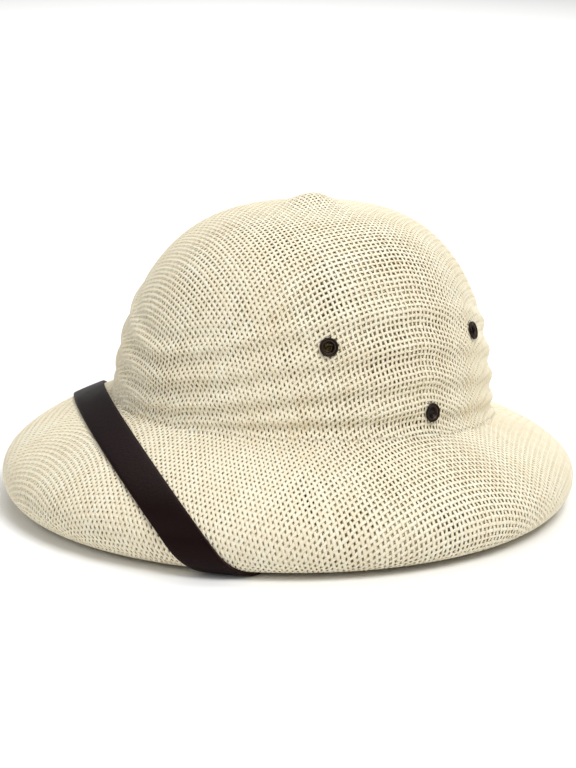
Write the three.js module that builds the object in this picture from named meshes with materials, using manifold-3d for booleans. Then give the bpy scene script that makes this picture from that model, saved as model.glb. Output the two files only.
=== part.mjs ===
// A pith helmet of woven straw: one moulded shell of crown and brim, six metal vent eyelets and a
// chin strap that lies over the front of the brim. Millimetres, +Z up, the wearer looks along -Y.
import * as THREE from "three";
import { mergeVertices } from "three/addons/utils/BufferGeometryUtils.js";
import Module from "manifold-3d";

const wasm = await Module();
wasm.setup();

// Crown: the oval of its foot, the height of its foot above the rim, and its rise above the side foot.
const CROWN_HALF_WIDTH = 99;
const CROWN_HALF_LENGTH = 111;
const CROWN_HEIGHT = 109;
const FOOT_HEIGHT_FRONT = 56;
const FOOT_HEIGHT_SIDE = 51.5;
const FOOT_HEIGHT_BACK = 40.5;
const FOOT_FLARE = 2;
const FOOT_FLARE_HEIGHT = 6;
const APEX_SETBACK = 3;
// Exponents of the crown's outline: a higher one makes squarer walls, or a flatter top.
const WALL_FULLNESS = 3.07;
const TOP_FULLNESS = 1.92;

// Knob: the low bump at the apex, under the same cloth.
const KNOB_HEIGHT = 6.5;
const KNOB_RADIUS = 14;

// Brim: how far it reaches past the crown's foot, and the rim that is rolled under at its edge.
const BRIM_REACH_FRONT = 62;
const BRIM_REACH_SIDE = 57;
const BRIM_REACH_BACK = 42.5;
const RIM_ROLL_HEIGHT = 13;
const RIM_ROLL_INSET = 13.8;
const RIM_LAND = 3;
// The brim falls partly at an even slope and the rest in a curve that steepens towards the edge.
const EVEN_SHARE_OF_FALL = 0.57;
const EDGE_FULLNESS = 2.7;

const SHELL_WALL = 2.2;
const RIB_RELIEF = 1;
const RIB_FULL_PITCH = 14;
const RIB_FRONT_ROUNDING = 0.15;

// Chin strap: a plain leather band in a leaning plane, turned to the wearer's right of the front.
const STRAP_WIDTH = 18;
const STRAP_THICKNESS = 1.5;
const STRAP_TURN = THREE.MathUtils.degToRad(-28.4);
const STRAP_LEAN = THREE.MathUtils.degToRad(36.8);
// How far it creeps along the rim as it goes round under it, and the hem's share of that.
const STRAP_CREEP = THREE.MathUtils.degToRad(5.6);
const STRAP_HEM_CREEP = 1.25;
const STRAP_TAB = 11;
const STRAP_RUN_LEFT = 26;
const STRAP_RUN_RIGHT = 13;

// Eyelets: the flange shown outside, the barrel through the wall and the turned edge inside. Those that
// hold the strap are blind, and a pin goes on from them through wall and leather.
const EYELET_FLANGE_RADIUS = 5.3;
const EYELET_FLANGE_HEIGHT = 1.3;
const EYELET_BARREL_RADIUS = 3.3;
const EYELET_BORE_RADIUS = 2.6;
const EYELET_PIN_RADIUS = 1.5;
const EYELET_TURN_RADIUS = 4.6;
const EYELET_TURN_HEIGHT = 0.8;
const EYELET_FLAT_RADIUS = 6;
const EYELET_FLAT_FADE = 7;

const GAP = 0.3;
const SHELL_SEGMENTS = 52;
const EYELET_SIDES = 14;
const STRAP_ROWS = 46;
const STRAP_LINES = 4;
const STRAP_CROSSING_ROWS = 6;

// Where the shell has a row of points: shares of the foot's radius on the crown's top, of the way out
// over the brim, and of the rim's quarter turn.
const TOP_ROWS = [0, 0.04, 0.08, 0.12, 0.17, 0.25, 0.36, 0.47, 0.57, 0.65];
const BRIM_ROWS = [0, 0.1, 0.25, 0.42, 0.6, 0.78, 0.9];
const ROLL_ROWS = [0, 0.25, 0.5, 0.75, 1];
const SHOULDER_STEPS = 3;
const RIB_STEPS = 3;

// Moulded ribs round the crown, as shares of its height above the foot. They arch up over the ears.
const RIBS = [
  { rib: "lowest", front: 0.02, side: 0.125, back: 0.02 },
  { rib: "lower", front: 0.08, side: 0.278, back: 0.1 },
  { rib: "upper", front: 0.218, side: 0.432, back: 0.2 },
  { rib: "highest", front: 0.345, side: 0.608, back: 0.335 },
];
const RIB_ZONE_TOP = { front: 0.47, side: 0.75, back: 0.46 };

// Vent eyelets of one side: degrees from the front, and a share of the crown's height above its foot.
const EYELETS = [
  { name: "front", azimuth: 54.6, height: 0.434, holdsStrap: false },
  { name: "lower", azimuth: 91.2, height: 0.106, holdsStrap: true },
  { name: "rear", azimuth: 120.2, height: 0.469, holdsStrap: false },
];

// The strap climbs the inside of the crown to the lower eyelets at these slopes, and lies on the wall
// for this run before it reaches them.
const STRAP_ENDS = [
  { side: 1, climb: THREE.MathUtils.degToRad(28), run: STRAP_RUN_LEFT },
  { side: -1, climb: THREE.MathUtils.degToRad(81), run: STRAP_RUN_RIGHT },
];

const FOOT_HEIGHT = { front: FOOT_HEIGHT_FRONT, side: FOOT_HEIGHT_SIDE, back: FOOT_HEIGHT_BACK };
const BRIM_REACH = { front: BRIM_REACH_FRONT, side: BRIM_REACH_SIDE, back: BRIM_REACH_BACK };
const CROWN_TOP = FOOT_HEIGHT_SIDE + CROWN_HEIGHT;

// Azimuths run from the front (-Y) towards the wearer's left (+X).
const polar = (azimuth, radius, height) =>
  new THREE.Vector3(radius * Math.sin(azimuth), -radius * Math.cos(azimuth), height);

// A size given at front, side and back, blended smoothly round the hat.
function around(size, azimuth) {
  const c = Math.cos(azimuth);
  const lengthwise = (size.front + size.back) / 2;
  return size.side * (1 - c * c) + lengthwise * c * c + ((size.front - size.back) / 2) * c;
}

// The same for a rib, which arches from a low front and back to a high side.
function archedAround(size, azimuth) {
  const soft = RIB_FRONT_ROUNDING;
  const s = Math.sin(azimuth);
  const arch = (Math.hypot(s, soft) - soft) / (Math.hypot(1, soft) - soft);
  const low = (size.front + size.back) / 2 + ((size.front - size.back) / 2) * Math.cos(azimuth);
  return low + (size.side - low) * arch;
}

const smoothStep = (value, from, to) => THREE.MathUtils.smoothstep(value, from, to);

const footRadius = (azimuth) =>
  1 / Math.hypot(Math.sin(azimuth) / CROWN_HALF_WIDTH, Math.cos(azimuth) / CROWN_HALF_LENGTH);

const footFlare = (height) =>
  FOOT_FLARE * Math.max(0, 1 - Math.max(0, height) / FOOT_FLARE_HEIGHT) ** 2;

// Radius of the plain crown, without ribs, at a height above its foot.
function crownRadius(azimuth, height) {
  const rise = CROWN_TOP - around(FOOT_HEIGHT, azimuth);
  const share = THREE.MathUtils.clamp(height / rise, 0, 1);
  const shrink = (1 - share ** TOP_FULLNESS) ** (1 / WALL_FULLNESS);
  return footRadius(azimuth) * shrink + footFlare(height);
}

// A point of the crown's outside; out moves it off the plain surface along the radius.
function crownPoint(azimuth, height, out = 0) {
  const foot = around(FOOT_HEIGHT, azimuth);
  const point = polar(azimuth, crownRadius(azimuth, height) + out, foot + height);
  point.y += APEX_SETBACK * Math.max(0, height / (CROWN_TOP - foot));
  return point;
}

// A point of the crown's top, by its share of the foot's radius; the knob rises at the middle.
function topPoint(azimuth, radiusShare) {
  const rise = CROWN_TOP - around(FOOT_HEIGHT, azimuth);
  const share = (1 - radiusShare ** WALL_FULLNESS) ** (1 / TOP_FULLNESS);
  const radius = footRadius(azimuth) * radiusShare;
  const point = polar(azimuth, radius, CROWN_TOP - rise * (1 - share));
  point.z += KNOB_HEIGHT * Math.exp(-((radius / KNOB_RADIUS) ** 2));
  point.y += APEX_SETBACK * share;
  return point;
}

// The cloth lies flat under each eyelet, so the ribs fade out there.
function ribShareAt(point) {
  let share = 1;
  for (const { centre } of eyeletSeats)
    share *= smoothStep(point.distanceTo(centre), EYELET_FLAT_RADIUS, EYELET_FLAT_RADIUS + EYELET_FLAT_FADE);
  return share;
}

const brimFall = (x) =>
  EVEN_SHARE_OF_FALL * x +
  (1 - EVEN_SHARE_OF_FALL) * (1 - (1 - x ** EDGE_FULLNESS) ** (1 / EDGE_FULLNESS));

// A point of the brim's top, from the crown's foot at 0 to the widest line of the rim at 1.
function brimPoint(azimuth, along) {
  const x = Math.sin((along * Math.PI) / 2);
  const foot = around(FOOT_HEIGHT, azimuth);
  const radius = footRadius(azimuth) + FOOT_FLARE + (around(BRIM_REACH, azimuth) - FOOT_FLARE) * x;
  return polar(azimuth, radius, foot - (foot - RIM_ROLL_HEIGHT) * brimFall(x));
}

// A point of the rolled rim, from its widest line at 0 to the flat underside at a quarter turn.
function rollPoint(azimuth, turn) {
  const widest = footRadius(azimuth) + around(BRIM_REACH, azimuth);
  return polar(
    azimuth,
    widest - RIM_ROLL_INSET * (1 - Math.cos(turn)),
    RIM_ROLL_HEIGHT * (1 - Math.sin(turn)),
  );
}

// The inner edge of the rim's flat underside.
const hemPoint = (azimuth) =>
  polar(azimuth, footRadius(azimuth) + around(BRIM_REACH, azimuth) - RIM_ROLL_INSET - RIM_LAND, 0);

// Where each eyelet sits, on both sides of the crown, with the outward direction of its axis.
const eyeletSeats = [1, -1].flatMap((side) =>
  EYELETS.map((row) => {
    const azimuth = side * THREE.MathUtils.degToRad(row.azimuth);
    const height = row.height * CROWN_HEIGHT;
    const centre = crownPoint(azimuth, height);
    const up = crownPoint(azimuth, height + 1).sub(crownPoint(azimuth, height - 1));
    const along = crownPoint(azimuth + 0.01, height).sub(crownPoint(azimuth - 0.01, height));
    const axis = along.cross(up).normalize();
    return { ...row, side, azimuth, centre, axis };
  }),
);

// A closed mesh as a manifold solid, and back.
function solidFrom(geometry) {
  const bare = geometry.index ? geometry.toNonIndexed() : geometry.clone();
  const positions = new THREE.BufferGeometry().setAttribute("position", bare.getAttribute("position"));
  const merged = mergeVertices(positions, 1e-4);
  return new wasm.Manifold(
    new wasm.Mesh({
      numProp: 3,
      vertProperties: new Float32Array(merged.attributes.position.array),
      triVerts: new Uint32Array(merged.index.array),
    }),
  );
}

function geometryFrom(solid) {
  const { vertProperties, triVerts } = solid.getMesh();
  const geometry = new THREE.BufferGeometry();
  geometry.setAttribute("position", new THREE.BufferAttribute(new Float32Array(vertProperties), 3));
  geometry.setIndex(new THREE.BufferAttribute(new Uint32Array(triVerts), 1));
  geometry.computeVertexNormals();
  return geometry;
}

// Triangles of a grid of points, each quad split once; a quad side of no length makes no triangle.
function gridTriangles(rows, closed, flip = false) {
  const corners = [];
  const face = (a, b, c) => {
    if (a.distanceTo(b) < 1e-6 || b.distanceTo(c) < 1e-6 || c.distanceTo(a) < 1e-6) return;
    for (const p of flip ? [a, c, b] : [a, b, c]) corners.push(p.x, p.y, p.z);
  };
  const columns = rows[0].length;
  for (let i = 0; i + 1 < rows.length; i++)
    for (let k = 0; k < (closed ? columns : columns - 1); k++) {
      const next = (k + 1) % columns;
      face(rows[i][k], rows[i + 1][k], rows[i + 1][next]);
      face(rows[i][k], rows[i + 1][next], rows[i][next]);
    }
  return corners;
}

function geometryOf(corners) {
  const geometry = new THREE.BufferGeometry();
  geometry.setAttribute("position", new THREE.Float32BufferAttribute(corners, 3));
  return geometry;
}

// Heights above the foot of one azimuth's rib rows, from above the highest rib down to the foot.
function ribRows(azimuth) {
  const levels = [{ front: 0, side: 0, back: 0 }, ...RIBS, RIB_ZONE_TOP].map(
    (size) => archedAround(size, azimuth) * CROWN_HEIGHT,
  );
  const rows = [];
  for (let i = levels.length - 1; i > 0; i--) {
    const pitch = levels[i] - levels[i - 1];
    const strength = Math.min(1, pitch / RIB_FULL_PITCH);
    for (let step = 0; step < RIB_STEPS; step++) {
      const share = 1 - step / RIB_STEPS;
      const above = i === levels.length - 1;
      const ridge = Math.cos(2 * Math.PI * share) * (above ? 1 - share : 1);
      rows.push({ height: levels[i - 1] + pitch * share, relief: RIB_RELIEF * strength * ridge });
    }
  }
  return rows;
}

// The shell's outside as rows of points, from the apex over the brim to the hem of the rolled rim.
function shellOutside() {
  const columns = [];
  for (let k = 0; k < SHELL_SEGMENTS; k++) {
    const azimuth = (k / SHELL_SEGMENTS) * 2 * Math.PI;
    const top = TOP_ROWS.map((share) => topPoint(azimuth, share));
    const ribs = ribRows(azimuth);
    const upper = top.at(-1).z - around(FOOT_HEIGHT, azimuth);
    const column = [...top];
    for (let step = 1; step < SHOULDER_STEPS; step++)
      column.push(crownPoint(azimuth, THREE.MathUtils.lerp(upper, ribs[0].height, step / SHOULDER_STEPS)));
    for (const { height, relief } of ribs) {
      const plain = crownPoint(azimuth, height);
      column.push(crownPoint(azimuth, height, relief * ribShareAt(plain)));
    }
    for (const along of BRIM_ROWS) column.push(brimPoint(azimuth, along));
    for (const turn of ROLL_ROWS) column.push(rollPoint(azimuth, (turn * Math.PI) / 2));
    column.push(hemPoint(azimuth));
    columns.push(column);
  }
  return columns[0].map((_, row) => columns.map((column) => column[row]));
}

// The same rows moved in by the wall's thickness along the surface's normals.
function shellInside(outside) {
  const last = outside.length - 1;
  return outside.map((row, i) =>
    row.map((point, k) => {
      if (i === 0) return point.clone().setZ(point.z - SHELL_WALL);
      const down = outside[Math.min(i + 1, last)][k].clone().sub(outside[i - 1][k]);
      const next = row[(k + 1) % row.length];
      const across = next.clone().sub(row[(k + row.length - 1) % row.length]);
      const inward = across.cross(down).normalize();
      if (i === last) inward.set(0, 0, 1);
      return point.clone().addScaledVector(inward, SHELL_WALL);
    }),
  );
}

function shellSolid() {
  const outside = shellOutside();
  const inside = shellInside(outside);
  const corners = [
    ...gridTriangles(outside, true),
    ...gridTriangles(inside, true, true),
    ...gridTriangles([outside.at(-1), inside.at(-1)], true),
  ];
  let solid = solidFrom(geometryOf(corners));
  for (const seat of eyeletSeats) solid = solid.subtract(boreTool(seat));
  return solid;
}

// The hole that an eyelet's barrel or pin passes through with a small clearance.
function boreTool({ centre, axis, holdsStrap }) {
  const length = 8 * SHELL_WALL;
  const radius = (holdsStrap ? EYELET_PIN_RADIUS : EYELET_BARREL_RADIUS) + GAP;
  const tool = new THREE.CylinderGeometry(radius, radius, length, EYELET_SIDES);
  tool.applyQuaternion(new THREE.Quaternion().setFromUnitVectors(new THREE.Vector3(0, 1, 0), axis));
  tool.translate(centre.x, centre.y, centre.z);
  return solidFrom(tool);
}

// How far a flat disc stands off a curved, faceted wall before its edge touches.
const facetSag = CROWN_HALF_LENGTH * (1 - Math.cos(Math.PI / SHELL_SEGMENTS));
const discSag = EYELET_FLANGE_RADIUS ** 2 / (2 * CROWN_HALF_WIDTH);
const strapStandOff = GAP + facetSag + RIB_RELIEF / 2;

// One eyelet round its own axis: a turned edge inside, a barrel or pin, and a flange with a rounded lip.
function eyeletGeometry(holdsStrap) {
  const backing = holdsStrap ? strapStandOff + STRAP_THICKNESS + GAP : GAP + facetSag;
  const inner = SHELL_WALL + backing + discSag;
  const shank = holdsStrap ? EYELET_PIN_RADIUS : EYELET_BARREL_RADIUS;
  const tail = -inner - EYELET_TURN_HEIGHT;
  const floor = GAP + EYELET_FLANGE_HEIGHT * 0.3;
  const start = holdsStrap ? [[0, tail]] : [[EYELET_BORE_RADIUS, tail]];
  const end = holdsStrap
    ? [[EYELET_BORE_RADIUS, floor], [0, floor]]
    : [[EYELET_BORE_RADIUS, GAP], [EYELET_BORE_RADIUS, tail]];
  const profile = [
    ...start,
    [EYELET_TURN_RADIUS, tail],
    [EYELET_TURN_RADIUS, -inner],
    [shank, -inner],
    [shank, GAP],
    [EYELET_FLANGE_RADIUS, GAP],
    [EYELET_FLANGE_RADIUS, GAP + EYELET_FLANGE_HEIGHT * 0.4],
    [(EYELET_FLANGE_RADIUS + EYELET_BARREL_RADIUS) / 2, GAP + EYELET_FLANGE_HEIGHT],
    [EYELET_BORE_RADIUS + GAP, GAP + EYELET_FLANGE_HEIGHT * 0.7],
    ...end,
  ].map(([radius, height]) => new THREE.Vector2(radius, height));
  const lathe = new THREE.LatheGeometry(profile, EYELET_SIDES);
  return geometryFrom(solidFrom(lathe));
}

// The plane that the strap lies in, and the value of x for which f is zero between two limits.
const strapNormal = new THREE.Vector3(
  Math.sin(STRAP_TURN) * Math.cos(STRAP_LEAN),
  -Math.cos(STRAP_TURN) * Math.cos(STRAP_LEAN),
  -Math.sin(STRAP_LEAN),
);

function solve(f, low, high) {
  const risesWith = Math.sign(f(high) - f(low));
  for (let i = 0; i < 40; i++) {
    const middle = (low + high) / 2;
    if (f(middle) * risesWith < 0) low = middle;
    else high = middle;
  }
  return (low + high) / 2;
}

// The strap's inner edge just clears the crown's foot.
function strapReach() {
  let reach = 0;
  for (let k = 0; k < 4 * SHELL_SEGMENTS; k++) {
    const foot = brimPoint((k / (4 * SHELL_SEGMENTS)) * 2 * Math.PI, 0);
    reach = Math.max(reach, strapNormal.dot(foot));
  }
  return reach + GAP + STRAP_WIDTH / 2;
}

// One long line of the strap, from hem to hem over the brim, where a parallel plane cuts the shell.
// Round the rolled rim it leaves the plane and keeps its own direction, so it creeps along the rim.
function strapLine(distance) {
  const quarter = Math.PI / 2;
  const stations = [
    { at: hemPoint, creep: STRAP_HEM_CREEP },
    ...[1, 0.85, 0.7, 0.55, 0.4, 0.25, 0.1].map((turn) => ({
      at: (a) => rollPoint(a, turn * quarter),
      creep: turn ** 2,
    })),
    ...[1, 0.95, 0.88, 0.8, 0.7, 0.6].map((along) => ({ at: (a) => brimPoint(a, along), creep: 0 })),
  ];
  const crossing = ({ at }, side) =>
    solve((a) => strapNormal.dot(at(a)) - distance, STRAP_TURN, STRAP_TURN + side * quarter);
  const flank = (side) =>
    stations.map((station) => station.at(crossing(station, side) + side * STRAP_CREEP * station.creep));
  const from = crossing(stations.at(-1), 1);
  const to = crossing(stations.at(-1), -1);
  const middle = [];
  for (let step = 1; step < 30; step++) {
    const azimuth = THREE.MathUtils.lerp(from, to, step / 30);
    const along = solve((x) => strapNormal.dot(brimPoint(azimuth, x)) - distance, 0, 1);
    middle.push(brimPoint(azimuth, along));
  }
  const points = [...flank(1), ...middle, ...flank(-1).reverse()];
  return new THREE.CatmullRomCurve3(points, false, "centripetal");
}

const across = [...Array(STRAP_LINES).keys()].map((j) => (j / (STRAP_LINES - 1) - 0.5) * STRAP_WIDTH);

// Rows of the strap where it lies on the shell, with normals that point away from the shell.
function strapOverBrim() {
  const reach = strapReach();
  const lines = across.map((offset) => strapLine(reach + offset));
  const rows = [];
  for (let i = 0; i < STRAP_ROWS; i++) {
    const t = i / (STRAP_ROWS - 1);
    const u = t - (0.55 * Math.sin(2 * Math.PI * t)) / (2 * Math.PI);
    rows.push(lines.map((line) => line.getPointAt(u)));
  }
  return rows.map((row, i) => ({
    points: row,
    normals: row.map((_, j) => {
      if (i === 0 || i === STRAP_ROWS - 1) return new THREE.Vector3(0, 0, -1);
      const along = rows[i + 1][j].clone().sub(rows[i - 1][j]);
      const side = row[Math.min(j + 1, STRAP_LINES - 1)].clone().sub(row[Math.max(j - 1, 0)]);
      return along.cross(side).normalize();
    }),
  }));
}

// Rows of one strap end: across the hollow from the hem, then up the inside of the crown's wall.
function strapEnd({ side, climb, run }, hemRow) {
  const seat = eyeletSeats.find((s) => s.holdsStrap && s.side === side);
  const seatHeight = seat.height * CROWN_HEIGHT;
  const wallAt = (forward, height) => {
    const azimuth = seat.azimuth + (side * forward) / CROWN_HALF_WIDTH;
    const clear = Math.max(0, height);
    const inside = crownPoint(azimuth, clear, -SHELL_WALL - footFlare(clear));
    inside.z += height - clear;
    return inside;
  };
  const distances = [-run, (-2 * run) / 3, -run / 3, 0, STRAP_TAB / 2, STRAP_TAB];
  const wallRows = distances.map((distance) => {
    const points = across.map((offset) =>
      wallAt(
        distance * Math.cos(climb) - offset * Math.sin(climb),
        seatHeight + distance * Math.sin(climb) + offset * Math.cos(climb),
      ),
    );
    const inward = seat.axis.clone().setZ(0).normalize().negate();
    return { points, normals: points.map(() => inward) };
  });
  const crossing = [];
  for (let i = 1; i <= STRAP_CROSSING_ROWS; i++)
    crossing.push(blendRows(hemRow, wallRows[0], i / (STRAP_CROSSING_ROWS + 1)));
  return [...crossing, ...wallRows];
}

// A row between two others, turned by degrees from one to the other and as wide as both.
function blendRows(a, b, t) {
  const centre = (row) => row.points[0].clone().add(row.points.at(-1)).multiplyScalar(0.5);
  const frame = (row) => {
    const x = row.points.at(-1).clone().sub(row.points[0]).normalize();
    const y = row.normals[1].clone().addScaledVector(x, -row.normals[1].dot(x)).normalize();
    const turn = new THREE.Matrix4().makeBasis(x, y, x.clone().cross(y));
    return new THREE.Quaternion().setFromRotationMatrix(turn);
  };
  const turned = frame(a).slerp(frame(b), t);
  const middle = centre(a).lerp(centre(b), t);
  const x = new THREE.Vector3(1, 0, 0).applyQuaternion(turned);
  const y = new THREE.Vector3(0, 1, 0).applyQuaternion(turned);
  return {
    points: across.map((offset) => middle.clone().addScaledVector(x, offset)),
    normals: across.map(() => y),
  };
}

function strapSolid() {
  const over = strapOverBrim();
  const [near, far] = STRAP_ENDS.map((end) => strapEnd(end, end.side > 0 ? over[0] : over.at(-1)));
  const standOffs = [
    ...near.map(() => strapStandOff),
    ...over.map(() => GAP),
    ...far.map(() => strapStandOff),
  ];
  const rows = [...near.reverse(), ...over, ...far];
  const ring = ({ points, normals }, standOff) => {
    const at = (height) => points.map((p, j) => p.clone().addScaledVector(normals[j], height));
    return [...at(standOff), ...at(standOff + STRAP_THICKNESS).reverse()];
  };
  const rings = rows.map((row, i) => ring(row, standOffs[i]));
  const cap = (points, flip) =>
    gridTriangles([points.slice(0, STRAP_LINES), points.slice(STRAP_LINES).reverse()], false, flip);
  const corners = [...gridTriangles(rings, true, true), ...cap(rings[0], false), ...cap(rings.at(-1), true)];
  let solid = solidFrom(geometryOf(corners));
  for (const seat of eyeletSeats.filter((s) => s.holdsStrap)) solid = solid.subtract(boreTool(seat));
  return solid;
}

const straw = new THREE.MeshStandardMaterial({ color: 0xf0e8cf, roughness: 0.75, metalness: 0 });
const leather = new THREE.MeshStandardMaterial({ color: 0x2a1a19, roughness: 0.45, metalness: 0 });
const bronze = new THREE.MeshStandardMaterial({ color: 0x2f261f, roughness: 0.4, metalness: 0.8 });

const hat = new THREE.Group();
const addMesh = (name, geometry, material) => {
  const mesh = new THREE.Mesh(geometry, material);
  mesh.name = name;
  hat.add(mesh);
  return mesh;
};

addMesh("crown_and_brim", geometryFrom(shellSolid()), straw);
addMesh("chin_strap", geometryFrom(strapSolid()), leather);
for (const seat of eyeletSeats) {
  const wearerSide = seat.side > 0 ? "left" : "right";
  const mesh = addMesh(`eyelet_${seat.name}_${wearerSide}`, eyeletGeometry(seat.holdsStrap), bronze);
  mesh.position.copy(seat.centre);
  mesh.quaternion.setFromUnitVectors(new THREE.Vector3(0, 1, 0), seat.axis);
}

// The origin is under the middle of the whole hat, on the surface that it stands on.
const frontReach = CROWN_HALF_LENGTH + BRIM_REACH_FRONT;
const backReach = CROWN_HALF_LENGTH + BRIM_REACH_BACK;
hat.position.set(0, (frontReach - backReach) / 2, GAP + STRAP_THICKNESS);

export default hat;
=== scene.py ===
# %% [markdown]
# A sun helmet of open woven straw.
# The real hat starts as two flat squares of straw cloth that are steamed over a block. The threads
# keep their length, so the square meshes lean into diamonds between the four corners of the head.
# This lesson weaves the cloth thread by thread on the moulded form. Dark holes, moire between the two
# layers and the vanishing of the holes at the sides then come by themselves, as on the real hat.
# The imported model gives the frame: every piece below stands where its solid stands.

# %% The frame
import math

import bpy
import numpy as np
from mathutils import Matrix, Vector


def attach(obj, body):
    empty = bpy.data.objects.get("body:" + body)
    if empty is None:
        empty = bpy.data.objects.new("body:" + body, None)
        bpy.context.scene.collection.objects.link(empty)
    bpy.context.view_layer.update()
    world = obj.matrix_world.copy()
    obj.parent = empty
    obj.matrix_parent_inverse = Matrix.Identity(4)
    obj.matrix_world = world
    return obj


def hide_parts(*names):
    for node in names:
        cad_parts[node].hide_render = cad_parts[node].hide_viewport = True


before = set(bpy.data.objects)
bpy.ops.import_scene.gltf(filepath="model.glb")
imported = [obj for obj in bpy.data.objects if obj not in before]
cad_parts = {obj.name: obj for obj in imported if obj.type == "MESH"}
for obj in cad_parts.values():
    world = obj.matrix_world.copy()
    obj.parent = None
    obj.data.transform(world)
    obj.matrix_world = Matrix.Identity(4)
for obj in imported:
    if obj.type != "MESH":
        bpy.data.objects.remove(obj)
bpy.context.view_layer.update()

MM = 0.001

# %% [markdown]
# The camera stands where the photograph was taken: half left of the front and a little above the
# brim. A long lens at 1.24 m keeps the perspective mild. The picture is taken as 576 by 768.

# %% Camera
IMAGE_WIDTH = 576
IMAGE_HEIGHT = 768
SENSOR = 36.0
VIEW_AZIMUTH = math.radians(48.0)
VIEW_ELEVATION = math.radians(14.75)
VIEW_ROLL = math.radians(1.34)
VIEW_DISTANCE = 1240.0
MM_PER_PIXEL = 0.5633
# The middle of the crown's foot, and the pixel where it is seen.
FOOT_MIDDLE = Vector((0.0, 9.75, 51.67))
FOOT_MIDDLE_PIXEL = (304.44, 398.86)


def direction(azimuth, elevation):
    """The way from the hat to an azimuth, counted from -Y towards +X, and an elevation."""
    level = math.cos(elevation)
    return Vector((math.sin(azimuth) * level, -math.cos(azimuth) * level, math.sin(elevation)))


def camera_axes():
    back = direction(VIEW_AZIMUTH, VIEW_ELEVATION)
    level = Vector((math.cos(VIEW_AZIMUTH), math.sin(VIEW_AZIMUTH), 0.0))
    upright = back.cross(level)
    right = math.cos(VIEW_ROLL) * level + math.sin(VIEW_ROLL) * upright
    return right, back.cross(right), back


def add_camera():
    right, up, back = camera_axes()
    eye = FOOT_MIDDLE + VIEW_DISTANCE * back
    aim = FOOT_MIDDLE.copy()
    aim += (IMAGE_WIDTH / 2 - FOOT_MIDDLE_PIXEL[0]) * MM_PER_PIXEL * right
    aim -= (IMAGE_HEIGHT / 2 - FOOT_MIDDLE_PIXEL[1]) * MM_PER_PIXEL * up
    z_axis = (eye - aim).normalized()
    x_axis = up.cross(z_axis).normalized()
    y_axis = z_axis.cross(x_axis)
    data = bpy.data.cameras.new("camera")
    data.sensor_width = SENSOR
    data.lens = VIEW_DISTANCE / MM_PER_PIXEL * SENSOR / IMAGE_HEIGHT
    data.clip_end = 20.0
    camera = bpy.data.objects.new("camera", data)
    bpy.context.scene.collection.objects.link(camera)
    turn = Matrix((x_axis, y_axis, z_axis)).transposed().to_4x4()
    camera.matrix_world = Matrix.Translation(eye * MM) @ turn
    bpy.context.scene.camera = camera
    return camera


camera = add_camera()
print("lens", round(camera.data.lens, 1), "mm at", [round(x, 3) for x in camera.location])

# %% [markdown]
# The form of the hat is one meridian that changes slowly on its way round the head: the crown's
# wall, the bend at its foot, the bell of the brim and the rim that is rolled under. The same few
# sizes make it in the solid model, so cloth and solid agree. Everything is in millimetres here, and
# azimuths run from the front (-Y) towards the wearer's left (+X).

# %% Sizes of the form
HALF_WIDTH = 99.0
HALF_LENGTH = 111.0
CROWN_HEIGHT = 109.0
FOOT_HEIGHT = {"front": 56.0, "side": 51.5, "back": 40.5}
BRIM_REACH = {"front": 62.0, "side": 57.0, "back": 42.5}
FOOT_FLARE = 2.0
FOOT_FLARE_HEIGHT = 6.0
APEX_SETBACK = 3.0
WALL_FULLNESS = 3.07
TOP_FULLNESS = 1.92
KNOB_HEIGHT = 6.5
KNOB_RADIUS = 14.0
ROLL_HEIGHT = 13.0
ROLL_INSET = 13.8
RIM_LAND = 3.0
EVEN_SHARE_OF_FALL = 0.57
EDGE_FULLNESS = 2.7
SHELL_WALL = 2.2
CROWN_TOP = FOOT_HEIGHT["side"] + CROWN_HEIGHT
# The form stands on the strap that passes under its rim, and is centred over its own length.
LIFT = 1.8
SHIFT = (BRIM_REACH["front"] - BRIM_REACH["back"]) / 2
FORM_PLACE = np.array([0, SHIFT, LIFT])

# %% Ribs and eyelets
RIB_RELIEF = 1.15
RIB_FULL_PITCH = 14.0
RIB_FRONT_ROUNDING = 0.15
RIBS = [
    {"rib": "foot", "front": 0.0, "side": 0.0, "back": 0.0},
    {"rib": "lowest", "front": 0.02, "side": 0.125, "back": 0.02},
    {"rib": "lower", "front": 0.08, "side": 0.278, "back": 0.1},
    {"rib": "upper", "front": 0.218, "side": 0.432, "back": 0.2},
    {"rib": "highest", "front": 0.345, "side": 0.608, "back": 0.335},
    {"rib": "zone top", "front": 0.47, "side": 0.75, "back": 0.46},
]
EYELETS = [
    {"name": "front", "azimuth": 54.6, "height": 0.434, "blind": False},
    {"name": "lower", "azimuth": 91.2, "height": 0.106, "blind": True},
    {"name": "rear", "azimuth": 120.2, "height": 0.469, "blind": False},
]
EYELET_FLAT_RADIUS = 6.0
EYELET_FLAT_FADE = 7.0

# %% The form as functions


def around(size, azimuth):
    """A size given at front, side and back, blended smoothly round the hat."""
    forward = np.cos(azimuth)
    lengthwise = (size["front"] + size["back"]) / 2
    uneven = (size["front"] - size["back"]) / 2
    return size["side"] * (1 - forward * forward) + lengthwise * forward * forward + uneven * forward


def arched(size, azimuth):
    """The same for a rib, which arches from a low front and back to a high side."""
    soft = RIB_FRONT_ROUNDING
    arch = (np.hypot(np.sin(azimuth), soft) - soft) / (math.hypot(1, soft) - soft)
    low = (size["front"] + size["back"]) / 2 + (size["front"] - size["back"]) / 2 * np.cos(azimuth)
    return low + (size["side"] - low) * arch


def polar(azimuth, radius, height):
    return np.stack(np.broadcast_arrays(radius * np.sin(azimuth), -radius * np.cos(azimuth), height), -1)


def foot_radius(azimuth):
    return 1 / np.hypot(np.sin(azimuth) / HALF_WIDTH, np.cos(azimuth) / HALF_LENGTH)


def smooth_step(value, low, high):
    share = np.clip((value - low) / (high - low), 0, 1)
    return share * share * (3 - 2 * share)


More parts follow.
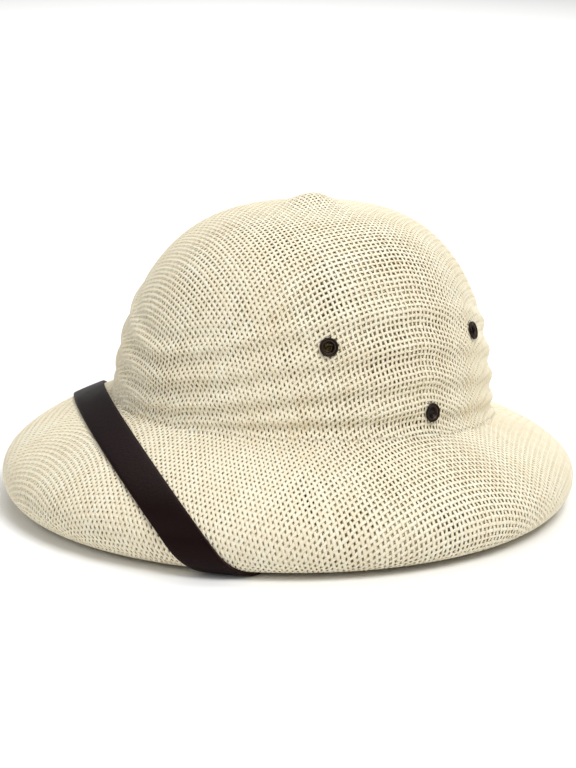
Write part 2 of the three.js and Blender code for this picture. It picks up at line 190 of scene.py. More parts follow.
def crown_at(azimuth, height, out=0.0):
    """A point of the plain crown at a height above its foot."""
    foot = around(FOOT_HEIGHT, azimuth)
    share = np.clip(height / (CROWN_TOP - foot), 0, 1)
    flare = FOOT_FLARE * np.maximum(0, 1 - np.maximum(0, height) / FOOT_FLARE_HEIGHT) ** 2
    radius = foot_radius(azimuth) * (1 - share**TOP_FULLNESS) ** (1 / WALL_FULLNESS) + flare + out
    point = polar(azimuth, radius, foot + height)
    point[..., 1] += APEX_SETBACK * share
    point[..., 2] += KNOB_HEIGHT * np.exp(-((radius / KNOB_RADIUS) ** 2))
    return point


def shell_at(azimuth, station):
    """A point of the brim (station 0 to 1), the rolled rim (1 to 2) or its flat underside (2 to 3)."""
    foot = around(FOOT_HEIGHT, azimuth)
    reach = around(BRIM_REACH, azimuth)
    out = np.sin(np.clip(station, 0, 1) * math.pi / 2)
    fall = EVEN_SHARE_OF_FALL * out
    fall = fall + (1 - EVEN_SHARE_OF_FALL) * (1 - (1 - out**EDGE_FULLNESS) ** (1 / EDGE_FULLNESS))
    turn = (np.clip(station, 1, 2) - 1) * math.pi / 2
    radius = foot_radius(azimuth) + FOOT_FLARE + (reach - FOOT_FLARE) * out
    radius = radius - ROLL_INSET * (1 - np.cos(turn)) - RIM_LAND * (np.clip(station, 2, 3) - 2)
    height = foot - (foot - ROLL_HEIGHT) * fall - ROLL_HEIGHT * np.sin(turn)
    return polar(azimuth, radius, height)


def eyelet_seats():
    """Each eyelet's centre on the crown and the outward direction of its axis."""
    seats = []
    for side, side_name in ((1, "left"), (-1, "right")):
        for row in EYELETS:
            azimuth = side * math.radians(row["azimuth"])
            height = row["height"] * CROWN_HEIGHT
            up = crown_at(azimuth, height + 1) - crown_at(azimuth, height - 1)
            along = crown_at(azimuth + 0.01, height) - crown_at(azimuth - 0.01, height)
            axis = np.cross(along, up)
            seats.append({
                **row,
                "node": f"eyelet_{row['name']}_{side_name}",
                "side": side,
                "azimuth": azimuth,
                "centre": crown_at(azimuth, height),
                "axis": axis / np.linalg.norm(axis),
            })
    return seats


SEATS = eyelet_seats()


def rib_relief(azimuth, height, points):
    """How far the moulded ribs stand out, or the grooves go in; flat under each eyelet."""
    levels = [arched(rib, azimuth) * CROWN_HEIGHT for rib in RIBS]
    relief = np.zeros(np.broadcast(azimuth, height).shape)
    for low, high in zip(levels, levels[1:]):
        share = (height - low) / (high - low)
        fade = 1 - share if high is levels[-1] else 1
        ridge = np.cos(2 * math.pi * share) * fade * np.minimum(1, (high - low) / RIB_FULL_PITCH)
        relief = np.where((share >= 0) & (share < 1), ridge, relief)
    for seat in SEATS:
        away = np.linalg.norm(points - seat["centre"], axis=-1)
        relief = relief * smooth_step(away, EYELET_FLAT_RADIUS, EYELET_FLAT_RADIUS + EYELET_FLAT_FADE)
    return RIB_RELIEF * relief


print("ribs", [rib["rib"] for rib in RIBS])
print("eyelets", [seat["node"] for seat in SEATS])

# %% [markdown]
# Cloth is laid by walking: so far out from the apex along a meridian, at such an azimuth. A table of
# points at even steps along every meridian turns such a walk into a place on the form. The walk down
# the crown is scaled to one length all round, so that the foot's crease is one round line in the
# table, and cloth can be parted there.

# %% The table of the form
CROWN_WALK = 186.0
WALK_STEP = 0.5
WALK_END = 292.0
TABLE_AZIMUTHS = 1440
CROWN_SAMPLES = 420
BRIM_SAMPLES = 261
TINY = 1e-9


def meridians():
    """Points down each meridian over crown, brim and roll to the hem, and the number of the foot's row."""
    azimuth = np.linspace(0, 2 * math.pi, TABLE_AZIMUTHS, endpoint=False)[:, None]
    rise = CROWN_TOP - around(FOOT_HEIGHT, azimuth)
    turn = (1 - np.linspace(0, 1, CROWN_SAMPLES) ** 2) * math.pi / 2
    height = rise * np.sin(turn) ** (2 / TOP_FULLNESS)
    plain = crown_at(azimuth, height)
    outward = polar(azimuth, 1.0, 0.0) * rib_relief(azimuth, height, plain)[..., None]
    crown = plain + outward
    stations = np.concatenate([np.linspace(0, 2, BRIM_SAMPLES)[1:], [2.5, 3.0]])
    brim = shell_at(azimuth, stations)
    points = np.concatenate([crown, brim], 1)
    return points + FORM_PLACE, crown.shape[1] - 1


def form_table():
    """Points and outward normals at even walks down each meridian, and the walk at which each one ends."""
    points, foot = meridians()
    steps = np.linalg.norm(np.diff(points, axis=1), axis=-1)
    walk = np.concatenate([np.zeros((len(points), 1)), np.cumsum(steps, 1)], 1)
    to_foot = walk[:, foot : foot + 1]
    walk = np.where(walk <= to_foot, walk / to_foot * CROWN_WALK, walk - to_foot + CROWN_WALK)
    even = np.arange(0, WALK_END, WALK_STEP)
    table = np.empty((len(points), len(even), 3))
    for k, row in enumerate(points):
        for axis in range(3):
            table[k, :, axis] = np.interp(even, walk[k], row[:, axis])
    down = np.gradient(table, axis=1)
    round_about = np.roll(table, -1, 0) - np.roll(table, 1, 0)
    normal = np.cross(down, round_about)
    length = np.linalg.norm(normal, axis=-1, keepdims=True)
    normal = np.where(length > TINY, normal / np.maximum(length, TINY), [0.0, 0.0, 1.0])
    return table, normal, walk[:, -1]


FORM, FORM_NORMAL, FORM_END = form_table()
print("form table", FORM.shape, "walk to the hem", FORM_END.min().round(1), "to", FORM_END.max().round(1))


def look_up(table, azimuth, walk):
    """The table between its entries, round in azimuth and held at its ends in walk."""
    turned = (azimuth / (2 * math.pi) * TABLE_AZIMUTHS) % TABLE_AZIMUTHS
    here = np.floor(turned).astype(int) % TABLE_AZIMUTHS
    beside = (here + 1) % TABLE_AZIMUTHS
    round_share = (turned - np.floor(turned))[..., None]
    if table.ndim == 1:
        return table[here] * (1 - round_share[..., 0]) + table[beside] * round_share[..., 0]
    steps = np.clip(walk / WALK_STEP, 0, table.shape[1] - 1.001)
    row = np.floor(steps).astype(int)
    down_share = (steps - row)[..., None]
    on_here = table[here, row] * (1 - down_share) + table[here, row + 1] * down_share
    on_beside = table[beside, row] * (1 - down_share) + table[beside, row + 1] * down_share
    return on_here * (1 - round_share) + on_beside * round_share


def unit(vectors):
    """The same directions at length 1."""
    return vectors / np.maximum(np.linalg.norm(vectors, axis=-1, keepdims=True), TINY)


def on_the_form(azimuth, walk):
    """Places on the form and the outward normals there; a walk past the furthest hem stops at it."""
    walk = np.clip(walk, 0, FORM_END.max())
    return look_up(FORM, azimuth, walk), unit(look_up(FORM_NORMAL, azimuth, walk))


# %% [markdown]
# The cloth is a flat mesh with one set of threads from side to side and one from front to back. Where
# both sets lie at 45 degrees to the meridian the meshes lean: they get longer downwards and narrower
# round the hat, while every thread keeps its length. At the ears the cloth was pulled down and drawn
# together from the front and the back. It also sits a little turned on the head. The measures were
# found from the slant and spacing of the rows of holes.

# %% From flat cloth to form
THREAD_PITCH = {"front_back": 2.67, "side_side": 2.58}
FLAT_TURN = math.radians(-3.7)
HEAD_TURN = math.radians(-8.0)
LEAN_NARROWING = 0.37
NARROWING_GROWS_BY = 86.0
LEAN_LENGTHENING = 0.73
LENGTHENING_GROWS_BY = 159.0
PULL = 0.29
PULL_TOWARDS = math.radians(82.0)
DRAWN_TOWARDS = math.radians(50.0)
DRAWN_ROUND = -0.08
DRAWN_TOGETHER = 0.37
DRAWN_GROWS_BY = 70.0


def growing(out, distance):
    """A share that is 0 at the apex, a half at the given distance and nearly 1 far out."""
    return out**2 / (out**2 + distance**2)


def window(angle):
    """1 where the angle is zero, falling smoothly to 0 on the opposite side."""
    return ((1 + np.cos(angle)) / 2) ** 2


def drawn(angle):
    """How far the cloth is drawn round the head on the wearer's left."""
    off = angle - DRAWN_TOWARDS
    return window(off) * (DRAWN_ROUND + DRAWN_TOGETHER * np.sin(off))


def lay_cloth(u, v, turn=0.0):
    """Azimuth and walk of a point of the flat cloth, u to the wearer's left and v to the back."""
    out = np.hypot(u, v)
    angle = np.arctan2(u, -v) + FLAT_TURN + turn
    narrowing = LEAN_NARROWING * growing(out, NARROWING_GROWS_BY) * np.sin(4 * angle) / 4
    narrowed = angle + narrowing
    both_sides = drawn(narrowed) - drawn(-narrowed)
    azimuth = narrowed + HEAD_TURN + both_sides * smooth_step(out, 0, DRAWN_GROWS_BY)
    longer = out - LENGTHENING_GROWS_BY * np.arctan(out / LENGTHENING_GROWS_BY)
    pulled = window(angle - PULL_TOWARDS) + window(angle + PULL_TOWARDS)
    pull = PULL * growing(out, LENGTHENING_GROWS_BY) * pulled
    return azimuth, out * (1 + pull) + LEAN_LENGTHENING * longer * np.sin(2 * angle) ** 2


ahead = lay_cloth(np.array([0.0, 150.0]), np.array([-150.0, 0.0]))
print("cloth 150 mm out lies at azimuths", np.degrees(ahead[0]).round(1), "and walks", ahead[1].round(1))

# %% [markdown]
# A thread is a flat straw yarn. It floats over one crossing thread and dives under the next, so its
# path has two points on each crossing, both high or both low, and a slope between crossings. Four
# corners round the path make a yarn with a flat back. The hidden inner layer has one point on each
# crossing and three corners. Thousands of such steps are one array, because a loop over single faces
# would take minutes in Python.

# %% Mesh from arrays
TRIANGLES = {}


def mesh_piece(name, points_mm, faces, finish, shares):
    """A smooth-shaded object from points in millimetres; shares are named values from 0 to 1 per point."""
    mesh = bpy.data.meshes.new(name)
    mesh.from_pydata((points_mm * MM).tolist(), [], faces)
    mesh.shade_smooth()
    for share_name, values in shares.items():
        attribute = mesh.attributes.new(share_name, "FLOAT", "POINT")
        attribute.data.foreach_set("value", values.astype(np.float32))
    mesh.materials.append(finish)
    piece = bpy.data.objects.new(name, mesh)
    bpy.context.scene.collection.objects.link(piece)
    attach(piece, "root")
    TRIANGLES[name] = sum(len(face) - 2 for face in faces)
    print(name, TRIANGLES[name], "triangles")
    return piece


def rings_to_faces(joined, corners):
    """Quads between consecutive rings of corner points, where joined says which ring meets its next."""
    ring = np.flatnonzero(joined)
    side = np.arange(corners)
    turned = (side + 1) % corners
    low = ring[:, None] * corners
    high = (ring[:, None] + 1) * corners
    quads = np.stack([low + side, low + turned, high + turned, high + side], -1)
    return quads.reshape(-1, 4)


# %% Yarn sizes
HALF_CLOTH = 250.0
YARN_WIDTH = 1.64
YARN_THICKNESS = 0.45
YARN_FLOAT = 0.15
# The width differs by these shares from thread to thread, and from crossing to crossing.
WIDTH_SPREAD_OF_THREAD = 0.07
WIDTH_SPREAD_AT_CROSSING = 0.08
# The brim was pressed harder, so its yarns are wider by this share. They widen about the foot.
BRIM_WIDENING = 0.14
WIDENING_STARTS = CROWN_WALK - 15
WIDENING_ENDS = CROWN_WALK + 25
# A yarn never fills more than this of the way to its neighbours.
YARN_ROOM = 0.78
# So much of the tone is the thread's own, and the rest is drawn at each crossing.
TONE_OF_THREAD = 0.6
# The cloth's slow unevenness is a sum of so many waves, with lengths between these two.
WAVES = 5
WAVE_LENGTHS = (35, 110)
WEAVE_SEED = 11

# %% Chance in the weave


def slow_waves(u, v, rng):
    """A smooth random displacement of about 1, which swells and fades over some centimetres of cloth."""
    total = np.zeros(np.broadcast(u, v).shape)
    for _ in range(WAVES):
        length = rng.uniform(*WAVE_LENGTHS)
        heading = rng.uniform(0, 2 * math.pi)
        phase = rng.uniform(0, 2 * math.pi)
        distance = u * math.cos(heading) + v * math.sin(heading)
        total += np.sin(distance * 2 * math.pi / length + phase)
    return total / math.sqrt(WAVES / 2)


def draw_pair(draw, size):
    """One random number for each thread and one for each of its crossings, spread over its rings."""
    threads, crossings, holds = size
    of_thread = draw((threads, 1))
    at_crossing = draw((threads, crossings))
    return of_thread, np.repeat(at_crossing, holds, 1)


# %% One set of threads


def thread_numbers(pitch):
    """The threads of one direction, counted from the middle of the cloth to both sides."""
    count = int(HALF_CLOTH / pitch)
    return np.arange(-count, count)


def yarn_profile(sides):
    """Corners of a yarn's section over its high side, as shares of its width and thickness."""
    if sides == 4:
        return np.array([[-0.5, 0.0], [-0.3, 0.6], [0.3, 0.6], [0.5, 0.0]])
    return np.array([[-0.5, 0.0], [0.0, 0.7], [0.5, 0.0]])


def yarn_widths(on_form, sideways, walk, size, rng):
    """The yarn's width at each ring, never more than the room between its neighbours."""
    of_thread, at_crossing = draw_pair(rng.standard_normal, size)
    width = YARN_WIDTH * (1 + WIDTH_SPREAD_OF_THREAD * of_thread)
    width = width * (1 + WIDTH_SPREAD_AT_CROSSING * at_crossing)
    width = width * (1 + BRIM_WIDENING * smooth_step(walk, WIDENING_STARTS, WIDENING_ENDS))
    room = np.abs((np.gradient(on_form, axis=0) * sideways).sum(-1))
    return np.minimum(width, YARN_ROOM * room)


def yarn_rings(path, sideways, normal, width, layer):
    """The corners of the yarn's section round each point of its path."""
    profile = yarn_profile(layer["sides"])
    flat = sideways[:, :, None] * profile[:, :1] * width[..., None, None]
    high = normal[:, :, None] * profile[:, 1:] * YARN_THICKNESS * layer["faces"]
    return path[:, :, None] + flat + high


def thread_set(set_name, other_name, layer, rng):
    """All threads of one direction as rings of points, with what sorts the rings into pieces."""
    front_back = set_name == "front_back"
    pitch = THREAD_PITCH[set_name] * layer["coarser"]
    crossing_pitch = THREAD_PITCH[other_name] * layer["coarser"]
    own = thread_numbers(pitch)
    crossing = thread_numbers(crossing_pitch)
    holds = np.array(layer["holds"])
    size = (len(own), len(crossing), len(holds))

    along = ((crossing[:, None] + 0.5) * crossing_pitch + holds * crossing_pitch).ravel()
    strand, place = np.meshgrid((own + 0.5) * pitch, along, indexing="ij")
    of_thread, at_crossing = draw_pair(rng.standard_normal, size)
    wander = layer["wander"] * of_thread + layer["wander"] * at_crossing
    wander = wander + layer["unevenness"] * slow_waves(strand, place, rng)
    u, v = (strand + wander, place) if front_back else (place, strand + wander)
    azimuth, walk = lay_cloth(u + layer["offset"][0], v + layer["offset"][1], layer["turn"])
    on_form, normal = on_the_form(azimuth, walk)

    over = (-1.0) ** (own[:, None] + crossing)
    over = np.repeat(over if front_back else -over, len(holds), 1)
    path = on_form + normal * (layer["depth"] + YARN_FLOAT * over)[..., None]
    sideways = unit(np.cross(normal, np.gradient(on_form, axis=1)))
    width = yarn_widths(on_form, sideways, walk, size, rng)
    of_thread, at_crossing = draw_pair(rng.random, size)
    return {
        "ring": yarn_rings(path, sideways, normal, width, layer),
        "walk": walk,
        "end": look_up(FORM_END, azimuth, walk),
        "tone": of_thread * TONE_OF_THREAD + at_crossing * (1 - TONE_OF_THREAD),
        "middle": path,
    }


# %% Cut the threads to pieces
PUNCHED_RADIUS = 3.6
# A walk longer than any on the form, for pieces that go down to the hem.
PAST_HEM = 1000.0


def holes_kept_clear(middle):
    """False for rings inside an eyelet's hole, where the cloth is punched out."""
    clear = np.ones(middle.shape[:-1], bool)
    for seat in SEATS:
        centre = seat["centre"] + FORM_PLACE
        clear &= np.linalg.norm(middle - centre, axis=-1) > PUNCHED_RADIUS
    return clear


def cut_piece(name, threads, low, high, finish):
    """The stretch of a set of threads between two walks, as one mesh with closed ends."""
    inside = (threads["walk"] < threads["end"]) & holes_kept_clear(threads["middle"])
    span = inside[:, :-1] & inside[:, 1:]
    lower_end = np.maximum(threads["walk"][:, :-1], threads["walk"][:, 1:])
    span &= (lower_end >= low) & (lower_end < high)
    joined = np.zeros(inside.shape, bool)
    joined[:, :-1] = span
    used = joined.copy()
    used[:, 1:] |= span
    corners = threads["ring"].shape[2]
    joined_here = joined[used]
    starts = np.concatenate([[True], ~joined_here[:-1]]) & joined_here
    ends = np.concatenate([[False], joined_here[:-1]]) & ~joined_here
    corner = np.arange(corners)
    faces = rings_to_faces(joined_here, corners).tolist()
    faces += (np.flatnonzero(starts)[:, None] * corners + corner[::-1]).tolist()
    faces += (np.flatnonzero(ends)[:, None] * corners + corner).tolist()
    points = threads["ring"][used].reshape(-1, 3)
    tone = np.repeat(threads["tone"][used], corners)
    piece = mesh_piece(name, points, faces, finish, {"tone": tone})
    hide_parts("crown_and_brim")


# %% [markdown]
# Shader maths reads best as plain expressions. This small class wraps a socket, and each operator
# adds the Math node for it.

# %% Shader helpers


class Value:
    """A number that varies over the surface: a socket with arithmetic."""

    def __init__(self, finish, socket):
        self.finish = finish
        self.socket = socket

    def _with(self, operation, *values):
        node = self.finish.node("ShaderNodeMath", {"operation": operation}, dict(enumerate(values)))
        return Value(self.finish, node.outputs[0])

    def __add__(self, other):
        return self._with("ADD", self, other)

    def __radd__(self, other):
        return self._with("ADD", other, self)

    def __sub__(self, other):
        return self._with("SUBTRACT", self, other)

    def __rsub__(self, other):
        return self._with("SUBTRACT", other, self)

    def __mul__(self, other):
        return self._with("MULTIPLY", self, other)

    def __rmul__(self, other):
        return self._with("MULTIPLY", other, self)

    def clipped(self):
        node = self.finish.node("ShaderNodeClamp", {}, {"Value": self})
        return Value(self.finish, node.outputs[0])


class Finish:
    """A material and one method that adds any node to it."""

    def __init__(self, name):
        self.material = bpy.data.materials.new(name)
        self.material.use_nodes = True
        self.tree = self.material.node_tree
        self.shader = self.tree.nodes["Principled BSDF"]

    def set_socket(self, socket, value):
        if isinstance(value, Value):
            self.tree.links.new(value.socket, socket)
        elif isinstance(value, bpy.types.NodeSocket):
            self.tree.links.new(value, socket)
        else:
            socket.default_value = value

    def node(self, kind, settings, sockets):
        node = self.tree.nodes.new(kind)
        for key, value in settings.items():
            setattr(node, key, value)
        for key, value in sockets.items():
            self.set_socket(node.inputs[key], value)
        return node

    def place(self):
        return self.node("ShaderNodeTexCoord", {}, {}).outputs["Object"]

    def noise(self, scale, detail):
        sockets = {"Vector": self.place(), "Scale": scale, "Detail": detail}
        return Value(self, self.node("ShaderNodeTexNoise", {}, sockets).outputs[0])

    def share(self, name):
        attribute = self.node("ShaderNodeAttribute", {"attribute_name": name}, {})
        return Value(self, attribute.outputs["Fac"])

    def blend(self, factor, first, second):
        sockets = {0: factor, 6: first, 7: second}
        settings = {"data_type": "RGBA", "clamp_factor": True}
        return self.node("ShaderNodeMix", settings, sockets).outputs[2]

    def bump(self, height, strength, distance):
        sockets = {"Height": height, "Strength": strength, "Distance": distance}
        return self.node("ShaderNodeBump", {}, sockets).outputs[0]

    def surface(self, **sockets):
        for key, value in sockets.items():
            self.set_socket(self.shader.inputs[key.replace("_", " ")], value)
        return self.material


def colour(red, green, blue):
    """A colour given as seen on a screen, from 0 to 255, as the shader wants it."""
    linear = []
    for part in (red, green, blue):
        linear.append(((part / 255 + 0.055) / 1.055) ** 2.4 if part > 10 else part / 255 / 12.92)
    return (*linear, 1.0)


# %% [markdown]
# Straw yarn is matt and never of one colour: each thread has its own tone, with small stains and a
# fine grain. The tone is stored on the threads, and noise adds the rest.

# %% Straw finish
# How far a yarn's own tone and a stain pull it from the pale towards the tan colour.
TONE_STRENGTH = 0.75
STAIN_STRENGTH = 0.9
# The dark grain is the tan colour at this brightness, and this strong.
GRAIN_BRIGHTNESS = 0.86
GRAIN_STRENGTH = 0.35


def straw_finish(name, pale, tan, roughness):
    finish = Finish(name)
    stains = finish.noise(scale=38.0, detail=3.0)
    grain = finish.noise(scale=1500.0, detail=2.0)
    tone = (finish.share("tone") * TONE_STRENGTH + (stains - 0.5) * STAIN_STRENGTH).clipped()
    base = finish.blend(tone, colour(*pale), colour(*tan))
    dark_grain = colour(*[part * GRAIN_BRIGHTNESS for part in tan])
    base = finish.blend((grain - 0.35) * GRAIN_STRENGTH, base, dark_grain)
    fibres = finish.bump(grain, strength=0.35, distance=0.00015)
    return finish.surface(Base_Color=base, Roughness=roughness, Normal=fibres)


straw = straw_finish("straw", (249, 242, 219), (238, 223, 190), 0.62)
# The inner layer's straw is a browner copy of the outer straw: a painted tint of shade for the holes.
inner_straw_shade_tinted = straw_finish("straw_inner_layer_shade_tinted", (248, 235, 200), (238, 219, 177), 0.7)

# %% Weave the outer layer
# Each layer has its pitch as a multiple, the cloth's offset and turn on the head, the points where
# a yarn is held on each crossing as shares of the pitch, and the yarn's depth, below 0 inside the
# form. Its section has so many sides, and the high side faces out (1) or in (-1). Threads stray from
# their lines by wander and slowly by unevenness. Lengths are in millimetres.
OUTER_LAYER = {
    "coarser": 1.0,
    "offset": (0.0, 0.0),
    "holds": (-0.25, 0.25),
    "turn": 0.0,
    "depth": -0.45,
    "sides": 4,
    "faces": 1.0,
    "wander": 0.07,
    "unevenness": 0.1,
}
# The threads of each direction, and those that they cross.
SETS = (("front_back", "side_side"), ("side_side", "front_back"))
rng = np.random.default_rng(WEAVE_SEED)
for set_name, other_name in SETS:
    threads = thread_set(set_name, other_name, OUTER_LAYER, rng)
    cut_piece(f"crown_threads_{set_name}", threads, 0.0, CROWN_WALK, straw)
    cut_piece(f"brim_threads_{set_name}", threads, CROWN_WALK, PAST_HEM, straw)

# %% [markdown]
# A second layer of slightly coarser cloth lies under the first and turned against it. Through the
# holes of the outer cloth it shows pale where threads meet holes, and dark where hole meets hole. Its
# straw is a browner copy of the outer straw, a painted tint of shade for the straw seen in the holes.

# %% Weave the inner layer
INNER_LAYER = {
    "coarser": 1.03,
    "offset": (0.82, 1.3),
    "holds": (0.0,),
    "turn": math.radians(3.5),
    "depth": -1.0,
    "sides": 3,
    "faces": -1.0,
    "wander": 0.08,
    "unevenness": 0.1,
}
for set_name, other_name in SETS:
    threads = thread_set(set_name, other_name, INNER_LAYER, rng)
    cut_piece(f"inner_threads_{set_name}", threads, 0.0, PAST_HEM, inner_straw_shade_tinted)

# %% [markdown]
# The chin strap is a plain leather band. It lies in a leaning plane over the front of the brim, so
# each long line of it is found where a parallel plane cuts the form. On each side it wraps under the
# rim, crosses the hollow under the brim and climbs the inside of the crown to the lower eyelet.

# %% Strap sizes
STRAP_WIDTH = 18.0
STRAP_THICKNESS = 1.45
STRAP_TURN = math.radians(-28.4)
STRAP_LEAN = math.radians(36.8)
# Round the rolled rim the strap keeps its direction and so creeps along the rim.
STRAP_CREEP = math.radians(5.6)
STRAP_HEM_CREEP = 1.25
# Inside the crown each end climbs at its angle, from its run before the eyelet to the tab past it.
STRAP_TAB = 11.0
STRAP_ENDS = [
    {"side": 1, "climb": math.radians(28), "run": 26.0},
    {"side": -1, "climb": math.radians(81), "run": 13.0},
]
# Clear space between the form and what lies on it, and between the strap and the crown's inside.
CLEARANCE = 0.3
STRAP_STAND_OFF = 0.9
STRAP_ROWS = 170
END_ROWS = 26
WALL_ROWS = 20
# Samples from which the strap's lines are found: round the foot, up each flank and over the front.
FOOT_SAMPLES = 720
FLANK_SAMPLES = 60
FRONT_SAMPLES = 160
# The flanks of the strap climb from the hem to this station of the brim.
FLANK_TOP = 0.6
# How often an interval is halved when a crossing is searched in it.
HALVINGS = 44
# Across the band from edge to edge, as shares of half its width.
STRAP_COLUMNS = np.array([-1, -0.985, -0.94, -0.8, -0.4, 0, 0.4, 0.8, 0.94, 0.985, 1])
# The same columns' height on the outer face: both long edges are rounded.
STRAP_CROWNING = np.array([0.45, 0.78, 0.96, 1.0, 1.0, 1.0, 1.0, 1.0, 0.96, 0.78, 0.45])

strap_normal = np.array([
    math.sin(STRAP_TURN) * math.cos(STRAP_LEAN),
    -math.cos(STRAP_TURN) * math.cos(STRAP_LEAN),
    -math.sin(STRAP_LEAN),
])

# %% Lines of the strap


def crossing_of(function, low, high):
    """Where a function that changes sign between low and high is zero, for whole arrays at once."""
    low = np.array(low, float)
    high = np.array(high, float)
    rises = np.sign(function(high) - function(low))
    for _ in range(HALVINGS):
        middle = (low + high) / 2
        before = function(middle) * rises < 0
        low = np.where(before, middle, low)
        high = np.where(before, high, middle)
    return (low + high) / 2


def even_points(points, count):
    """A polyline at equal steps of its length."""
    walk = np.concatenate([[0], np.cumsum(np.linalg.norm(np.diff(points, axis=0), axis=1))])
    wanted = np.linspace(0, walk[-1], count)
    return np.stack([np.interp(wanted, walk, points[:, axis]) for axis in range(3)], -1)


def strap_line(distance):
    """One long line of the strap from hem to hem, where a parallel plane cuts brim and rim."""
    rim = np.linspace(3.0, 1.0, FLANK_SAMPLES)
    stations = np.concatenate([rim, np.linspace(1.0, FLANK_TOP, FLANK_SAMPLES)[1:]])
    flanks = []
    for side in (1, -1):
        start = np.full(len(stations), STRAP_TURN)
        stop = start + side * math.pi / 2
        azimuth = crossing_of(lambda a: shell_at(a, stations) @ strap_normal - distance, start, stop)
        creep = np.clip(stations - 1, 0, 1) ** 2 + (STRAP_HEM_CREEP - 1) * np.clip(stations - 2, 0, 1)
        azimuth = azimuth + side * STRAP_CREEP * creep
        flanks.append((azimuth, shell_at(azimuth, stations)))
    azimuth = np.linspace(flanks[0][0][-1], flanks[1][0][-1], FRONT_SAMPLES)[1:-1]
    zero = np.zeros(len(azimuth))
    station = crossing_of(lambda s: shell_at(azimuth, s) @ strap_normal - distance, zero, zero + 1)
    over = shell_at(azimuth, station)
    return even_points(np.concatenate([flanks[0][1], over, flanks[1][1][::-1]]), STRAP_ROWS)


def strap_over_brim():
    """Rows of points where the strap lies on the form, with normals that point away from it."""
    foot = shell_at(np.linspace(0, 2 * math.pi, FOOT_SAMPLES), 0.0)
    reach = (foot @ strap_normal).max() + CLEARANCE + STRAP_WIDTH / 2
    lines = [strap_line(reach + column * STRAP_WIDTH / 2) for column in STRAP_COLUMNS]
    points = np.stack(lines, 1)
    along = np.gradient(points, axis=0)
    side = np.gradient(points, axis=1)
    normals = unit(np.cross(along, side))
    normals[[0, -1]] = (0, 0, -1)
    return points, normals


# %% Ends of the strap


def wall_rows(end):
    """Rows of the strap on the inside of the crown's wall, round the lower eyelet."""
    seat = next(seat for seat in SEATS if seat["blind"] and seat["side"] == end["side"])
    distance = np.linspace(-end["run"], STRAP_TAB, WALL_ROWS)[:, None]
    offset = STRAP_COLUMNS * STRAP_WIDTH / 2
    forward = distance * math.cos(end["climb"]) - offset * math.sin(end["climb"])
    height = seat["height"] * CROWN_HEIGHT + distance * math.sin(end["climb"])
    height = height + offset * math.cos(end["climb"])
    azimuth = seat["azimuth"] + end["side"] * forward / HALF_WIDTH
    above = np.maximum(0, height)
    flare = FOOT_FLARE * np.maximum(0, 1 - above / FOOT_FLARE_HEIGHT) ** 2
    points = crown_at(azimuth, above, -SHELL_WALL - flare)
    points[..., 2] += height - above
    inward = -seat["axis"] * [1, 1, 0]
    return points, np.broadcast_to(inward / np.linalg.norm(inward), points.shape)


def row_frame(points, normals):
    """How one row stands: x along it and y away from the form."""
    x = points[-1] - points[0]
    x = x / np.linalg.norm(x)
    y = normals[len(normals) // 2]
    y = y - x * (y @ x)
    y = y / np.linalg.norm(y)
    return Matrix(np.stack([x, y, np.cross(x, y)], -1).tolist()).to_quaternion()


def crossing_rows(first, second):
    """Rows across the hollow under the brim, turned by degrees from one row to the other."""
    start = row_frame(*first)
    stop = row_frame(*second)
    first_middle = (first[0][0] + first[0][-1]) / 2
    second_middle = (second[0][0] + second[0][-1]) / 2
    points = []
    normals = []
    for share in np.linspace(0, 1, END_ROWS + 2)[1:-1]:
        turn = start.slerp(stop, share)
        middle = first_middle * (1 - share) + second_middle * share
        across = np.array(turn @ Vector((1, 0, 0)))
        away = np.array(turn @ Vector((0, 1, 0)))
        points.append(middle + np.outer(STRAP_COLUMNS * STRAP_WIDTH / 2, across))
        normals.append(np.tile(away, (len(STRAP_COLUMNS), 1)))
    return np.stack(points), np.stack(normals)


def strap_rows():
    """All rows of the strap from one lower eyelet to the other, and each row's stand-off."""
    over, over_normals = strap_over_brim()
    parts = [(over, over_normals, CLEARANCE)]
    for end in STRAP_ENDS:
        hem = (over[0], over_normals[0]) if end["side"] > 0 else (over[-1], over_normals[-1])
        wall, wall_normals = wall_rows(end)
        between, between_normals = crossing_rows(hem, (wall[0], wall_normals[0]))
        points = np.concatenate([between, wall])
        normals = np.concatenate([between_normals, wall_normals])
        if end["side"] > 0:
            parts.insert(0, (points[::-1], normals[::-1], STRAP_STAND_OFF))
        else:
            parts.append((points, normals, STRAP_STAND_OFF))
    points = np.concatenate([part[0] for part in parts])
    normals = np.concatenate([part[1] for part in parts])
    stand_off = np.concatenate([np.full(len(part[0]), part[2]) for part in parts])
    middle = points[:, len(STRAP_COLUMNS) // 2]
    length = np.linalg.norm(np.diff(middle, axis=0), axis=1).sum()
    print("strap length", round(length), "mm")
    return points, normals, stand_off


# %% Leather finish


def leather_finish():
    finish = Finish("strap_leather")
    cloudy = finish.noise(scale=60.0, detail=3.0)
    sockets = {"Vector": finish.place(), "Scale": 1150.0}
    pores = Value(finish, finish.node("ShaderNodeTexVoronoi", {}, sockets).outputs["Distance"])
    creases = finish.noise(scale=420.0, detail=4.0)
    cut_edge = finish.share("cut_edge")
    base = finish.blend(cloudy, colour(17, 8, 9), colour(25, 12, 13))
    base = finish.blend(cut_edge, base, colour(50, 33, 28))
    height = pores * 0.6 + creases
    return finish.surface(
        Base_Color=base,
        Specular_IOR_Level=0.1,
        Specular_Tint=colour(255, 214, 208),
        Roughness=(cloudy * 0.16 + 0.34 + cut_edge * 0.2).clipped(),
        Normal=finish.bump(height, strength=0.4, distance=0.0003),
    )


# %% Build the strap
# The paler cut edge starts at this share of half the width.
CUT_EDGE_FROM = 0.94


